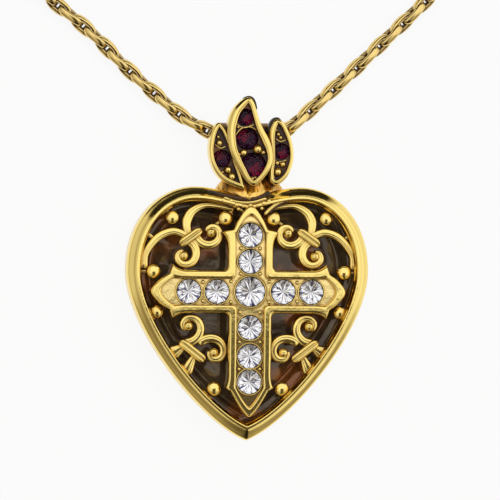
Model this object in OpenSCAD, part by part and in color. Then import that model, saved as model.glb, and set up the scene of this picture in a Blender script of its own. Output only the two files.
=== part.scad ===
// Heart pendant with an openwork front, a stone-set cross and a flame crest, on a rope chain.
// It lies on its back: front towards +Z, top towards +Y, origin under the middle of its outline.

/* [Heart] */
// Width of the heart across its lobes
heart_w = 29.8; // [28:0.2:34]
// Height of the heart, from its tip to the tops of the lobes
heart_h = 31; // [30:0.5:35]
// How far the cleft lies below the tops of the lobes
cleft_drop = 1.2; // [0.8:0.1:2]
// Depth of the back shell, from its flat back to the seam
shell_h = 3; // [2.6:0.1:4]
// Thickness of the back shell's floor
floor_t = 0.8; // [0.6:0.1:1.2]
// Thickness of the back shell's side wall
shell_t = 0.9; // [0.7:0.1:1.2]
// Height of the rim's crest above the seam
rim_h = 2.6; // [2:0.1:3.4]
// Width of the rim, seen from the front
rim_w = 1.8; // [1.5:0.1:2.2]
// Thickness of the openwork bands, from their undersides to their tops
band_t = 1.3; // [1:0.1:1.6]

/* [Cross] */
// Width of the upright
upright_w = 5.4; // [5:0.1:6]
// Width of the crossbar
crossbar_w = 5.2; // [5:0.1:6]
// Width of the raised edge round the cross
edge_w = 0.67; // [0.5:0.01:0.8]
// Height of the cross's raised edge above the seam
cross_h = 3; // [2.6:0.1:3.6]
// Depth of the sunk field inside the raised edge
field_drop = 0.6; // [0.4:0.1:0.8]
// Thickness of the cross, from its underside to the top of its raised edge
cross_t = 2.5; // [2.2:0.1:2.8]

/* [Stones] */
// Diameter of the stone in the middle of the cross
middle_stone_d = 3.5; // [3:0.1:3.6]
// Diameter of the other clear stones
small_stone_d = 2.8; // [2.4:0.1:2.9]
// Diameters of the three red stones in the middle flame, from the top down
top_garnet_d = 2; // [1.6:0.1:2.1]
// Diameter of the second red stone
mid_garnet_d = 2.5; // [2:0.1:2.6]
// Diameter of the lowest red stone
low_garnet_d = 3; // [2.6:0.1:3.1]
// Diameter of the red stone in each side flame
side_garnet_d = 1.9; // [1.6:0.1:2]
// Clearance round a stone in its pocket
stone_gap = 0.04; // [0.02:0.01:0.08]

/* [Crest] */
// Height of the middle flame's tip above the tops of the heart's lobes
flame_h = 11.2; // [10:0.2:13]
// Width of the raised lip round each flame
lip_w = 0.55; // [0.4:0.05:0.7]
// Depth of the sunk field inside a flame's lip
flame_drop = 0.9; // [0.6:0.1:1.2]
// Outer diameter of the bail tube
bail_d = 3.4; // [3.2:0.1:4]
// Bore of the bail tube
bail_bore = 2.5; // [2.3:0.1:2.6]
// Length of the bail tube
bail_l = 7.2; // [6.4:0.2:8]

/* [Chain] */
// Diameter of the rope chain
chain_d = 1.85; // [1.6:0.05:2]
// Diameter of the cap on each end of the chain
cap_d = 2.5; // [2.3:0.1:2.8]
// Length of the cap on each end of the chain
cap_l = 3.2; // [2.6:0.2:3.6]
// Thickness of the hook's and the ring's wire
wire_d = 0.9; // [0.8:0.05:1]

/* [Hidden] */
gold = "goldenrod";

total_h = heart_h + flame_h;

// Levels, measured up from the back
crest_z = shell_h + rim_h;
band_top = shell_h + 1.7;
cross_top = shell_h + cross_h;
field_z = cross_top - field_drop;
// Cuts from above start at their floors and are this high
cut_h = total_h / 4;

// Places on the openwork are drawn on a heart of this size, its lobes' tops at this height, and
// follow the real one. Places on the crest are drawn on flames of this height above the lobes.
drawn_w = 29.8;
drawn_h = 31;
drawn_lobe_y = 9.9;
drawn_flame_h = 11.2;

// Heights of the outline's main points: the whole pendant is centred on y = 0
tip_y = -total_h / 2;
lobe_y = tip_y + heart_h;
side_y = tip_y + 0.67 * heart_h;
lobe_x = 0.221 * heart_w;
function spot(p) = [p.x * heart_w / drawn_w, lobe_y + (p.y - drawn_lobe_y) * heart_h / drawn_h];
function spots(list) = [for (p = list) spot(p)];
function crest_spot(p) = [p.x, lobe_y + (p.y - drawn_lobe_y) * flame_h / drawn_flame_h];

function cubic(a, b, c, d, t) =
    pow(1 - t, 3) * a + 3 * pow(1 - t, 2) * t * b + 3 * (1 - t) * t * t * c + pow(t, 3) * d;

// Right half of the heart, set in by s, from the cleft round the lobe to just before the tip
function heart_side(s, n) =
    let (
        half = heart_w / 2 - s, top = lobe_y - s, low = tip_y + 1.2 * s,
        cleft = [0, lobe_y - cleft_drop - s], lobe = [lobe_x, top], side = [half, side_y],
        round_x = 0.47 * (half - lobe_x), round_y = 0.66 * (top - side_y), long = side_y - low
    ) concat(
        [for (i = [0:n - 1]) cubic(cleft, cleft + [1.6, 0.3], lobe - [2.4, 0], lobe, i / n)],
        [for (i = [0:2 * n - 1]) cubic(lobe, lobe + [round_x, 0], side + [0, round_y], side, i / (2 * n))],
        [for (i = [0:2 * n - 1])
            cubic(side, side - [0, 0.352 * long], [0.357 * half, low + 0.1 * long], [0, low], i / (2 * n))],
        [[0, low]]
    );
function heart_outline(s, n = 7) =
    let (half = heart_side(s, n), m = len(half))
    concat(half, [for (i = [m - 2:-1:1]) [-half[i].x, half[i].y]]);
function heart_ring(level) = [for (p = heart_outline(level[0])) [p.x, p.y, level[1]]];

// Sections joined into one skin: round and round when closed, or with flat ends
module skin(rings, closed = false) {
    m = len(rings[0]);
    n = len(rings);
    sides = [
        for (i = [0:(closed ? n : n - 1) - 1], j = [0:m - 1])
            let (k = (i + 1) % n, l = (j + 1) % m)
            each [[i * m + j, i * m + l, k * m + l], [i * m + j, k * m + l, k * m + j]]
    ];
    ends = closed ? [] : [[for (j = [m - 1:-1:0]) j], [for (j = [0:m - 1]) (n - 1) * m + j]];
    polyhedron([for (r = rings) each r], concat(sides, ends), convexity = 6);
}

// Heart-shaped rings joined into a dish, its first and last rings filled to a middle point
module dish(levels) {
    rings = [for (l = levels) heart_ring(l)];
    m = len(rings[0]);
    n = len(rings);
    last = n - 1;
    hubs = [[0, 0, levels[0][1]], [0, 0, levels[last][1]]];
    sides = [
        for (i = [0:n - 2], j = [0:m - 1])
            let (k = i + 1, l = (j + 1) % m)
            each [[i * m + j, i * m + l, k * m + l], [i * m + j, k * m + l, k * m + j]]
    ];
    fills = [
        for (j = [0:m - 1])
            let (l = (j + 1) % m)
            each [[n * m, l, j], [n * m + 1, last * m + j, last * m + l]]
    ];
    polyhedron(concat([for (r = rings) each r], hubs), concat(sides, fills), convexity = 6);
}

function unit(v) = v / norm(v);
function along(path, i) = unit(path[min(i + 1, len(path) - 1)] - path[max(i - 1, 0)]);

// A half-round band of the openwork along a flat path, with its own half-width at each point
band_section = [[1, 0], [0.9, 0.6], [0.4, 1], [-0.4, 1], [-0.9, 0.6], [-1, 0]];
module band(path, half_w, base = band_top - band_t, top = band_top) {
    skin([
        for (i = [0:len(path) - 1])
            let (t = along(path, i), side = [t.y, -t.x], w = is_list(half_w) ? half_w[i] : half_w)
            [for (q = band_section) let (p = path[i] + side * q.x * w) [p.x, p.y, base + q.y * (top - base)]]
    ]);
}

// A smooth path through a few points
function smooth(p, n = 3) = [
    for (i = [0:len(p) - 2], k = [0:n - 1])
        let (t = k / n, a = p[max(i - 1, 0)], b = p[i], c = p[i + 1], d = p[min(i + 2, len(p) - 1)])
        0.5 * (2 * b + (c - a) * t + (2 * a - 5 * b + 4 * c - d) * t * t + (3 * b - a - 3 * c + d) * pow(t, 3)),
    p[len(p) - 1]
];
function smooth_loop(p, n = 3) =
    let (m = len(p))
    [for (i = [0:m - 1], k = [0:n - 1])
        let (t = k / n, a = p[(i + m - 1) % m], b = p[i], c = p[(i + 1) % m], d = p[(i + 2) % m])
        0.5 * (2 * b + (c - a) * t + (2 * a - 5 * b + 4 * c - d) * t * t + (3 * b - a - 3 * c + d) * pow(t, 3))];

// A scroll that winds in to a small ball
scroll_turn = 300;
module scroll(centre, start, turn, r_out, half_w = 0.42, n = 20) {
    r_in = 0.55;
    path = [
        for (i = [0:n])
            let (u = i / n, a = start + turn * u, r = r_in + (r_out - r_in) * pow(1 - u, 1.3))
            spot(centre) + r * [cos(a), sin(a)]
    ];
    band(path, [for (i = [0:n]) half_w * (1 - 0.35 * i / n)]);
    ball(spot(centre), 0.5);
}

module ball(at, r) translate([at.x, at.y, band_top - 0.3]) sphere(r, $fn = 12);

// A straight bar with round ends
module bar(from, to, w, top = band_top, base = band_top - band_t)
    hull() for (p = [from, to]) translate([p.x, p.y, base]) {
        cylinder(h = top - base - 0.25, d = w, $fn = 12);
        cylinder(h = top - base, d = w - 0.4, $fn = 12);
    }

// The place on the middle of the rim that lies nearest to a place on the openwork
rim_line = heart_outline(rim_w / 2, 14);
function rim_near(p) =
    let (gaps = [for (q = rim_line) norm(q - p)])
    rim_line[search(min(gaps), gaps)[0]];
module rim_bar(from, w, drop) bar(spot(from), rim_near(spot(from)), w, band_top - drop);

// Bead of the openwork, with the short twig that carries it from the rim
module bead(at, r) {
    ball(spot(at), r);
    rim_bar(at, 0.5, 0.4);
}

module side_openwork() {
    scroll([4.75, 4.3], -15, -scroll_turn, 1.9);
    scroll([8.1, 1.45], 115, scroll_turn, 1.9);
    scroll([7.45, -7.1], -85, -scroll_turn, 2.1);
    scroll([4.3, -10.35], 45, scroll_turn, 2);
    bar(spot([6.1, 4.5]), spot([8.4, 2.8]), 1, band_top + 0.35);
    bar(spot([8.3, -9.1]), spot([5.6, -11.2]), 1, band_top + 0.35);
    inner_arc = smooth(spots([[7.4, 3.8], [7.75, 5.4], [7.1, 6.8], [5.6, 7.6], [3.9, 7.5], [2.2, 7.2]]));
    band(inner_arc, [for (i = [0:len(inner_arc) - 1]) 0.22 + 0.32 * exp(-pow((i - 3) / 3, 2))]);
    outer_arc = smooth(spots([[7.8, 3.9], [9.2, 4.4], [10.7, 4], [11.9, 3], [12.8, 1.6], [12.9, 0.3]]));
    band(outer_arc, 0.32);
    rim_bar([11.6, 3.4], 0.6, 0.3);
    rim_bar([7.9, -9.6], 0.8, 0.1);
    rim_bar([6.6, -11.2], 0.7, 0.1);
    rim_bar([3.9, 7.5], 0.5, 0.3);
    bar(spot([4.2, 5.2]), spot([2.2, 6.6]), 0.5, band_top - 0.5);
    bar(spot([8, 0.4]), spot([7.6, -1]), 0.7, band_top - 0.3);
    bar(spot([3.2, -10.4]), spot([2.2, -10.6]), 0.7, band_top - 0.2);
    bead([2.95, 6.05], 0.8);
    bead([9.35, 6.05], 0.75);
    bead([11.75, -0.5], 0.85);
    bead([11.25, -5.4], 0.75);
    bead([4.15, -14.8], 0.85);
}

// Half of one arm of the cross, drawn upwards: straight side, cusp, then a pointed arch
function arm_half(reach, half_w, arch) = [
    [half_w, 0], [half_w, reach - arch - 1.4], [half_w + 0.15, reach - arch - 0.7],
    [half_w + 0.55, reach - arch], [half_w - 0.25, reach - arch + 0.05],
    [half_w - 0.6, reach - 0.7 * arch], [half_w - 1.15, reach - 0.4 * arch], [0.75, reach - 0.14 * arch],
    [0.25, reach - 0.02 * arch]
];
module arm(reach, half_w, arch) {
    half = arm_half(reach, half_w, arch);
    polygon(concat(half, [for (i = [len(half) - 1:-1:0]) [-half[i].x, half[i].y]]));
}

// The cross's middle and how far each arm reaches from it: into the rim at the cleft, and short of
// the rim at the sides and at the tip
cross_at = spot([0, -2.9]);
cleft_overlap = 0.5;
side_gap = 1.35;
tip_gap = 0.65;
reach_up = lobe_y - cleft_drop - rim_w + cleft_overlap - cross_at.y;
reach_side = heart_w / 2 - rim_w - side_gap;
reach_down = cross_at.y - tip_y - 1.2 * rim_w - tip_gap;
module cross_plan(inset = 0) offset(delta = -inset) {
    arm(reach_up, upright_w / 2, 2.7);
    rotate(90) arm(reach_side, crossbar_w / 2, 2.6);
    rotate(-90) arm(reach_side, crossbar_w / 2, 2.6);
    rotate(180) arm(reach_down, upright_w / 2, 3.3);
}

// The clear stones, as [place from the cross's middle, diameter]
step = small_stone_d;
first = (middle_stone_d + small_stone_d) / 2;
clear_stones = [
    [[0, 0], middle_stone_d],
    [[0, first + 0.54], step], [[0, first + step + 0.94], step],
    [[0, -first - 1.22], step], [[0, -first - step - 1.92], step], [[0, -first - 2 * step - 2.23], step],
    [[-first - 0.92, 0], step], [[-first - step - 1.58, 0], step],
    [[first + 0.92, 0], step], [[first + step + 1.58, 0], step]
];

// A round brilliant: flat culet, pavilion, thin girdle, crown and table
girdle_h = 0.1;
function crown_h(d) = 0.17 * d;
function pavilion_h(d) = 0.4 * d;
function stone_ring(r, z) = [for (i = [0:15]) let (a = -22.5 * i) [r * cos(a), r * sin(a), z]];
module stone(d) {
    r = d / 2;
    skin([
        stone_ring(0.1 * r, -pavilion_h(d)), stone_ring(r, 0), stone_ring(r, girdle_h),
        stone_ring(0.8 * r, girdle_h + 0.6 * crown_h(d)), stone_ring(0.55 * r, girdle_h + crown_h(d))
    ]);
}
module pocket(d) translate([0, 0, -pavilion_h(d)]) cylinder(h = cut_h, d = d + 2 * stone_gap, $fn = 32);

// The front, cast in one: rim, scrolls, beads and cross
rim_section = [
    [0, 0], [0, 0.35], [0.3, 0.68], [0.75, 0.9], [1.2, 1], [1.55, 0.93], [rim_w - 0.1, 0.8], [rim_w, 0.5],
    [rim_w, 0]
];
module heart_front() color(gold) difference() {
    union() {
        skin([for (q = rim_section) heart_ring([q.x, shell_h + q.y * rim_h])], closed = true);
        intersection() {
            union() {
                side_openwork();
                mirror([1, 0, 0]) side_openwork();
            }
            translate([0, 0, shell_h]) linear_extrude(cut_h) polygon(heart_outline(rim_w / 2));
        }
        translate([cross_at.x, cross_at.y, cross_top - cross_t]) linear_extrude(cross_t) cross_plan();
    }
    translate([cross_at.x, cross_at.y, field_z]) {
        linear_extrude(cut_h) cross_plan(edge_w);
        for (s = clear_stones) translate([s[0].x, s[0].y, 0]) pocket(s[1]);
    }
}

module clear_stone(i) color("white")
    translate([cross_at.x + clear_stones[i][0].x, cross_at.y + clear_stones[i][0].y, field_z])
    stone(clear_stones[i][1]);

// The back shell: flat back, rounded edge, polished hollow
module back_shell() color(gold) dish([
    [1.5, 0], [0.75, 0.12 * shell_h], [0.25, 0.35 * shell_h], [0, 0.65 * shell_h], [0, shell_h],
    [shell_t, shell_h], [shell_t + 0.1, 0.6 * shell_h], [shell_t + 0.5, 1.2 * floor_t], [shell_t + 1.1, floor_t]
]);

// The crest's flames
middle_flame = [
    [0, 21.1], [-1.3, 20], [-2.2, 18.6], [-2.65, 16.5], [-2.3, 14.1], [-1.4, 12], [-0.3, 10.3], [0.6, 10],
    [1.5, 10.8], [2.4, 12.4], [2.75, 14.3], [2.2, 15.9], [1.3, 17.3], [0.75, 19.1]
];
left_flame = [
    [-3.9, 17.8], [-4.6, 16.9], [-4.95, 15], [-4.8, 13], [-4, 11.4], [-2.6, 10.2], [-0.7, 9.7], [-1.2, 12],
    [-2.4, 14.6], [-3, 16.6]
];
right_flame = [
    [3.2, 18.5], [2.5, 17], [2.3, 15.2], [2.6, 13.4], [2.3, 11.6], [2.6, 10.4], [3.6, 10.1], [4.6, 11.2],
    [5.25, 13], [5.2, 15], [4.5, 17.1]
];
flame_back = shell_h + 0.5;
side_lip_z = flame_back + 2;
middle_lip_z = flame_back + 2.5;

module flame_plan(points, inset = 0)
    offset(delta = -inset) polygon(smooth_loop([for (p = points) crest_spot(p)]));

// The red stones, as [place, diameter, level of the girdle]
red_stones = [
    [[-0.6, 18.4], top_garnet_d, middle_lip_z - flame_drop],
    [[-0.1, 15.75], mid_garnet_d, middle_lip_z - flame_drop],
    [[0.5, 12.55], low_garnet_d, middle_lip_z - flame_drop],
    [[-3.3, 13.4], side_garnet_d, side_lip_z - flame_drop],
    [[3.95, 14.3], side_garnet_d, side_lip_z - flame_drop]
];
// Small beads in the flames, as [place, radius]
crest_beads = [
    [[-3.7, 15.3], 0.3], [[-2.6, 11.9], 0.25], [[-2.1, 11.2], 0.42], [[3.55, 11.8], 0.4], [[4.1, 12.9], 0.25],
    [[3.6, 16.4], 0.28]
];
middle_beads = [[[-0.85, 14.2], 0.3], [[0.9, 14.35], 0.3], [[0.5, 10.75], 0.28]];

// A flame: a solid back with a raised lip, left open inside the lip
module flame(points, lip_z) difference() {
    translate([0, 0, flame_back]) linear_extrude(lip_z - flame_back) flame_plan(points);
    translate([0, 0, lip_z - flame_drop]) linear_extrude(cut_h) flame_plan(points, lip_w);
}

// The collar that the flames grow from, cut to sit against the heart's side at the cleft
collar_top = flame_back + 1.1;
module collar() difference() {
    hull() for (p = [[-3.6, 9.3, 4.4], [4.2, 9.3, 4.4], [-1.8, 11.4, 4.8], [2.6, 11.4, 4.8]])
        translate([p.x, crest_spot(p).y, 0.5 * shell_h]) cylinder(h = collar_top - 0.5 * shell_h, r = 0.5, $fn = 16);
    linear_extrude(cut_h) polygon(heart_outline(0));
}

module crest_bead(at, r, z) hull() for (rise = [0, 0.6 * r])
    translate([crest_spot(at).x, crest_spot(at).y, z - 0.2 + rise]) sphere(r, $fn = 10);

module flame_crest() color(gold) difference() {
    union() {
        collar();
        difference() {
            union() {
                flame(left_flame, side_lip_z);
                flame(right_flame, side_lip_z);
            }
            translate([0, 0, middle_lip_z - flame_drop - 0.2]) linear_extrude(cut_h) flame_plan(middle_flame);
        }
        flame(middle_flame, middle_lip_z);
        for (b = crest_beads) crest_bead(b[0], b[1], side_lip_z - flame_drop);
        for (b = middle_beads) crest_bead(b[0], b[1], middle_lip_z - flame_drop);
    }
    for (s = red_stones) translate([crest_spot(s[0]).x, crest_spot(s[0]).y, s[2]]) pocket(s[1]);
}

module red_stone(i) color("maroon")
    translate([crest_spot(red_stones[i][0]).x, crest_spot(red_stones[i][0]).y, red_stones[i][2]])
    stone(red_stones[i][1]);

// The bail: a tube behind the flames, with a flat saddle up to their backs
bail_y = crest_spot([0, 16.1]).y;
saddle = [4.4, 2.4];
module bail_tube() color(gold) translate([0, bail_y, bail_d / 2]) difference() {
    union() {
        rotate([0, 90, 0]) cylinder(h = bail_l, d = bail_d, center = true, $fn = 48);
        translate([-saddle.x / 2, -saddle.y / 2, 0]) cube([saddle.x, saddle.y, flame_back - bail_d / 2]);
    }
    rotate([0, 90, 0]) cylinder(h = bail_l + 1, d = bail_bore, center = true, $fn = 48);
}

// The chain's way from the middle of the bail to its coil, on each side
floor_z = chain_d / 2;
coil_r = 12.4;
coil_gap = 1.35;
coil_at = [coil_r + (chain_d + coil_gap) / 2, 48];
left_route = [
    [0, bail_y, bail_d / 2], [-2.2, bail_y, bail_d / 2], [-3.4, 16.2, 1.69], [-4.5, 16.64, 1.64],
    [-5.7, 17.3, 1.5], [-7.6, 18.35, 1.25], [-9.8, 20.1, 1], [-12.4, 22.3, floor_z], [-15.4, 25, floor_z], [-18.1, 27.7, floor_z], [-21, 30.2, floor_z],
    [-23.8, 32.4, floor_z], [-26, 35, floor_z], [-27, 38.5, floor_z], [-26.9, 43, floor_z],
    [-coil_at.x - coil_r, coil_at.y, floor_z]
];
right_route = [
    [0, bail_y, bail_d / 2], [2.2, bail_y, bail_d / 2], [3.4, 16.21, 1.69], [4.5, 16.67, 1.64],
    [5.6, 17.42, 1.5], [7.4, 18.95, 1.25], [9.6, 20.95, 1], [12.4, 23.5, floor_z], [15.3, 26.3, floor_z], [18.2, 29.1, floor_z], [21, 31.8, floor_z],
    [23.6, 34.6, floor_z], [25.6, 37.8, floor_z], [26.4, 42.5, floor_z],
    [coil_at.x + coil_r, coil_at.y, floor_z]
];

// A tube swept along a route: it starts along X and ends along Y
module tube(route, d) {
    last = len(route) - 1;
    skin([
        for (i = [0:last])
            let (
                t = i == 0 ? [sign(route[1].x), 0, 0] : i == last ? [0, 1, 0] : along(route, i),
                side = unit(cross(t, [0, 0, 1])), up = cross(side, t)
            )
            [for (k = [0:7]) let (a = 45 * k + 22.5) route[i] + (side * cos(a) + up * sin(a)) * d / 2 / cos(22.5)]
    ]);
}
module chain_left() color(gold) tube(left_route, 0.96 * chain_d);
module chain_right() color(gold) tube(right_route, 0.96 * chain_d);

// Each side's coil lies flat: a ring of close turns, with a notch where the free stretch comes in, whose
// inner end turns in towards a cap
coil_pitch = chain_d + 0.1;
coil_turns = 2.75;
end_r = 4;
notch_w = 1.2;
hole_r = coil_r - coil_turns * coil_pitch - 0.8;
arc_at = coil_turns * coil_pitch - coil_r + end_r;
module coil() difference() {
    union() {
        rotate_extrude($fn = 96) polygon([
            [hole_r, 0.2], [hole_r + 0.3, 0], [coil_r + 0.5, 0], [coil_r + chain_d / 2, 0.4],
            [coil_r + chain_d / 2, chain_d - 0.4], [coil_r + 0.5, chain_d], [hole_r + 0.3, chain_d],
            [hole_r, chain_d - 0.2]
        ]);
        translate([0, arc_at, 0.1]) rotate_extrude(angle = 90, start = 180, $fn = 96)
            translate([end_r - chain_d / 2, 0]) square([chain_d, chain_d - 0.2]);
    }
    translate([-coil_r - 2, -coil_r - 2, -1]) cube([2 + notch_w, coil_r + 2, chain_d + 2]);
}
module chain_coil_left() color(gold) translate([-coil_at.x, coil_at.y, 0]) coil();
module chain_coil_right() color(gold) translate([coil_at.x, coil_at.y, 0]) mirror([1, 0, 0]) coil();

// A cap on the chain's inner end, standing on the coil's arc and pointing towards +Y
module cap() translate([-end_r, arc_at, cap_d / 2]) rotate([-90, 0, 0]) {
    cylinder(h = cap_l, d = cap_d, $fn = 48);
    translate([0, 0, cap_l]) cylinder(h = 0.5, d1 = cap_d, d2 = 1.6, $fn = 48);
}

// The closing hook on the left end, and the ring that it takes on the right end
hook_r = 1.3;
module chain_hook() color(gold) translate([-coil_at.x, coil_at.y, 0]) {
    cap();
    translate([-end_r, arc_at + cap_l, cap_d / 2]) {
        rotate([-90, 0, 0]) cylinder(h = 2.2, d = wire_d, $fn = 32);
        translate([hook_r, 2.2, 0]) rotate_extrude(angle = 180, $fn = 48)
            translate([hook_r, 0]) circle(d = wire_d, $fn = 32);
        translate([2 * hook_r, 0.4, 0]) rotate([-90, 0, 0]) cylinder(h = 1.8, d = wire_d, $fn = 32);
    }
}
ring_r = 1.7;
ring_lean = 30;
module chain_ring() color(gold) translate([coil_at.x, coil_at.y, 0]) mirror([1, 0, 0]) {
    cap();
    translate([-end_r, arc_at + cap_l + wire_d / 2, cap_d / 2]) rotate(-ring_lean)
        translate([0, ring_r, 0]) rotate_extrude($fn = 64) translate([ring_r, 0]) circle(d = wire_d, $fn = 32);
}

heart_front();
back_shell();
flame_crest();
bail_tube();
for (i = [0:9]) clear_stone(i);
for (i = [0:4]) red_stone(i);
chain_left();
chain_right();
chain_coil_left();
chain_coil_right();
chain_hook();
chain_ring();
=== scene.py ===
import math
import bpy
import bmesh
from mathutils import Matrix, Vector


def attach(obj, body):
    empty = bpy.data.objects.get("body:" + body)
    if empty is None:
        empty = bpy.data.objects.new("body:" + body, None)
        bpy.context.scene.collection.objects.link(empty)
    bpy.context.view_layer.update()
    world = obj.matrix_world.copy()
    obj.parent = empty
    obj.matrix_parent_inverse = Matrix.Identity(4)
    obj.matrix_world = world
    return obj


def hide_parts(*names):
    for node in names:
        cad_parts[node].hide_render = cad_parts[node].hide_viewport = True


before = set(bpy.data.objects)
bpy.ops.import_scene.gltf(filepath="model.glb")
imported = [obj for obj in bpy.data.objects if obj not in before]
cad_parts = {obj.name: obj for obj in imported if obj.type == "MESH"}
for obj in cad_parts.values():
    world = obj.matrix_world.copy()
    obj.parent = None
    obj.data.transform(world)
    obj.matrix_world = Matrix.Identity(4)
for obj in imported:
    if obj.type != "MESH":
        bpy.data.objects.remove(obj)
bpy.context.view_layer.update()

mm = 0.001
print("frame loaded,", len(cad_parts), "nodes")

# Main sizes of the pendant in millimetres, as its solids have them
pendant = {
    "heartWidth": 29.8, "heartHeight": 31.0, "cleftDrop": 1.2, "tipY": -21.1,
    "seam": 3.0, "bandTop": 4.7, "crossTop": 6.0, "fieldDrop": 0.6,
}


# Shader maths: a Wire is an output socket that takes + - and * with numbers and other wires
class Wire:
    def __init__(self, board, socket):
        self.board, self.socket = board, socket

    def maths(self, operation, first, second, clamp=False):
        settings = {"operation": operation, "use_clamp": clamp}
        return self.board.node("Math", settings, {0: first, 1: second})

    def __add__(self, other):
        return self.maths("ADD", self, other)

    def __radd__(self, other):
        return self.maths("ADD", other, self)

    def __sub__(self, other):
        return self.maths("SUBTRACT", self, other)

    def __rsub__(self, other):
        return self.maths("SUBTRACT", other, self)

    def __mul__(self, other):
        return self.maths("MULTIPLY", self, other)

    def __rmul__(self, other):
        return self.maths("MULTIPLY", other, self)

    def __neg__(self):
        return self.maths("MULTIPLY", self, -1.0)

    def clamped(self):
        return self.maths("ADD", self, 0.0, clamp=True)

    def atLeast(self, low):
        return self.maths("MAXIMUM", self, low)

    def size(self):
        return self.atLeast(-self)

    def step(self, start, end):
        # 0 before start, 1 after end, smooth between
        return self.board.node("MapRange", {"interpolation_type": "SMOOTHSTEP"},
                               {"Value": self, "From Min": start, "From Max": end})


class Board:
    def __init__(self, owner):
        owner.use_nodes = True
        self.nodes, self.links = owner.node_tree.nodes, owner.node_tree.links
        self.nodes.clear()

    def node(self, kind, settings=None, sockets=None, out=0):
        made = self.nodes.new("ShaderNode" + kind)
        for name, value in (settings or {}).items():
            setattr(made, name, value)
        for name, value in (sockets or {}).items():
            if isinstance(value, Wire):
                self.links.new(value.socket, made.inputs[name])
            else:
                made.inputs[name].default_value = value
        return Wire(self, made.outputs[out]) if made.outputs else None

    def also(self, wire, name):
        # another output of the node that a wire comes from
        return Wire(self, wire.socket.node.outputs[name])

    def mix(self, share, first, second):
        return self.node("Mix", {"data_type": "RGBA"}, {"Factor": share, "A": first, "B": second},
                         out="Result")

    def noise(self, at, scale, detail=2.0):
        return self.node("TexNoise", sockets={"Vector": at, "Scale": scale, "Detail": detail})


def rgb(red, green, blue):
    # a colour as a picture shows it, 0 to 255, turned into what a socket takes
    def linear(v):
        v /= 255
        return v / 12.92 if v <= 0.04045 else ((v + 0.055) / 1.055) ** 2.4
    return (linear(red), linear(green), linear(blue), 1.0)


def newFinish(name):
    # an empty material, its board and the places on the piece that carries it
    material = bpy.data.materials.new(name)
    board = Board(material)
    return material, board, board.node("TexCoord", out="Object")


def finishWith(board, sockets):
    board.node("OutputMaterial", sockets={"Surface": board.node("BsdfPrincipled", sockets=sockets)})


# Gold: bright on top, deeper where the surface closes in, which is painted shade, and then brown patina.
# reach is how far from a wall, in millimetres, the brown starts, relief how deep the bumps are, and the
# clouds and grains how many a metre
castGold = {
    "bright": rgb(250, 222, 132), "deep": rgb(182, 138, 70), "patina": rgb(96, 66, 38),
    "reach": 0.9, "patinaStart": 0.34, "roughness": 0.1, "waviness": 0.4, "relief": 0.06,
    "clouds": 420.0, "grain": 5200.0, "streaks": 0.0, "streakGrain": (2400.0, 260.0, 260.0),
}
collarGold = {**castGold, "bright": rgb(248, 202, 108), "deep": rgb(192, 126, 54), "roughness": 0.15,
              "streaks": 0.8}
plainGold = {**castGold, "patinaStart": 0.42}
# the chain: its deep is a dark brown that reaches further, painted shade between the links
ropeGold = {**castGold, "bright": rgb(236, 206, 130), "deep": rgb(80, 54, 28), "reach": 1.6,
            "patinaStart": 0.14, "roughness": 0.08, "waviness": 0.8}
fieldGold = {**castGold, "bright": rgb(250, 224, 150), "deep": rgb(196, 154, 86), "reach": 0.3,
             "patinaStart": 0.5}
# the bail tube: all its colours dark, painted shade where it sits between the flames
paintedShadeTubeGold = {**castGold, "bright": rgb(120, 86, 48), "deep": rgb(66, 44, 26), "patina": rgb(44, 30, 22),
            "patinaStart": 0.2}


def goldFinish(name, values):
    material, board, at = newFinish(name)
    cloudy = board.noise(at, values["clouds"], 3.0) - 0.5
    grainy = board.noise(at, values["grain"], 4.0) - 0.5
    openness = board.node("AmbientOcclusion", {"samples": 6}, {"Distance": values["reach"] * mm}, out="AO")
    closed = 1 - openness
    # painted shade: the gold turns deeper where the surface closes in
    deepMask = (closed * 1.5 + cloudy * 0.25).clamped()
    brownMask = ((closed - values["patinaStart"] + cloudy * 0.2 + grainy * 0.12) * 2.6).clamped()
    height = cloudy + grainy * 0.08
    if values["streaks"]:
        stretched = board.node("VectorMath", {"operation": "MULTIPLY"}, {0: at, 1: values["streakGrain"]})
        streaky = board.noise(stretched, 1.0)
        height = height + streaky * 3.0
        brownMask = (brownMask + streaky.step(0.52, 0.74) * values["streaks"]).clamped()
    colour = board.mix(brownMask, board.mix(deepMask, values["bright"], values["deep"]), values["patina"])
    rough = (brownMask * 0.35 + grainy * 0.12 + cloudy * 0.06 + values["roughness"]).clamped()
    bump = board.node("Bump", sockets={"Height": height, "Strength": values["waviness"],
                                       "Distance": values["relief"] * mm})
    finishWith(board, {"Base Color": colour, "Roughness": rough, "Metallic": 1 - brownMask * 0.55,
                       "Normal": bump})
    return material


# Dark places: a brown clouded with a deeper brown and patched with amber, painted reflections of the gold
hollowFinish = {"dark": rgb(116, 98, 74), "paintedAmberGlint": rgb(182, 108, 48), "deep": rgb(94, 76, 58),
                "roughness": 0.08, "metal": 0.2, "waves": 0.9, "relief": 0.2,
                "paintedGlintClouds": 190.0, "deepClouds": 330.0, "grain": 2600.0}
recessFinish = {**hollowFinish, "dark": rgb(76, 54, 42), "paintedAmberGlint": rgb(132, 84, 42), "deep": rgb(58, 40, 34),
                "roughness": 0.28, "metal": 0.4, "waves": 0.3}
# painted shade: the darkest brown, laid as bands where the casting is in shade
paintedShadeFinish = {**recessFinish, "dark": rgb(50, 40, 26), "paintedAmberGlint": rgb(92, 62, 32), "deep": rgb(34, 28, 22)}


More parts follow.
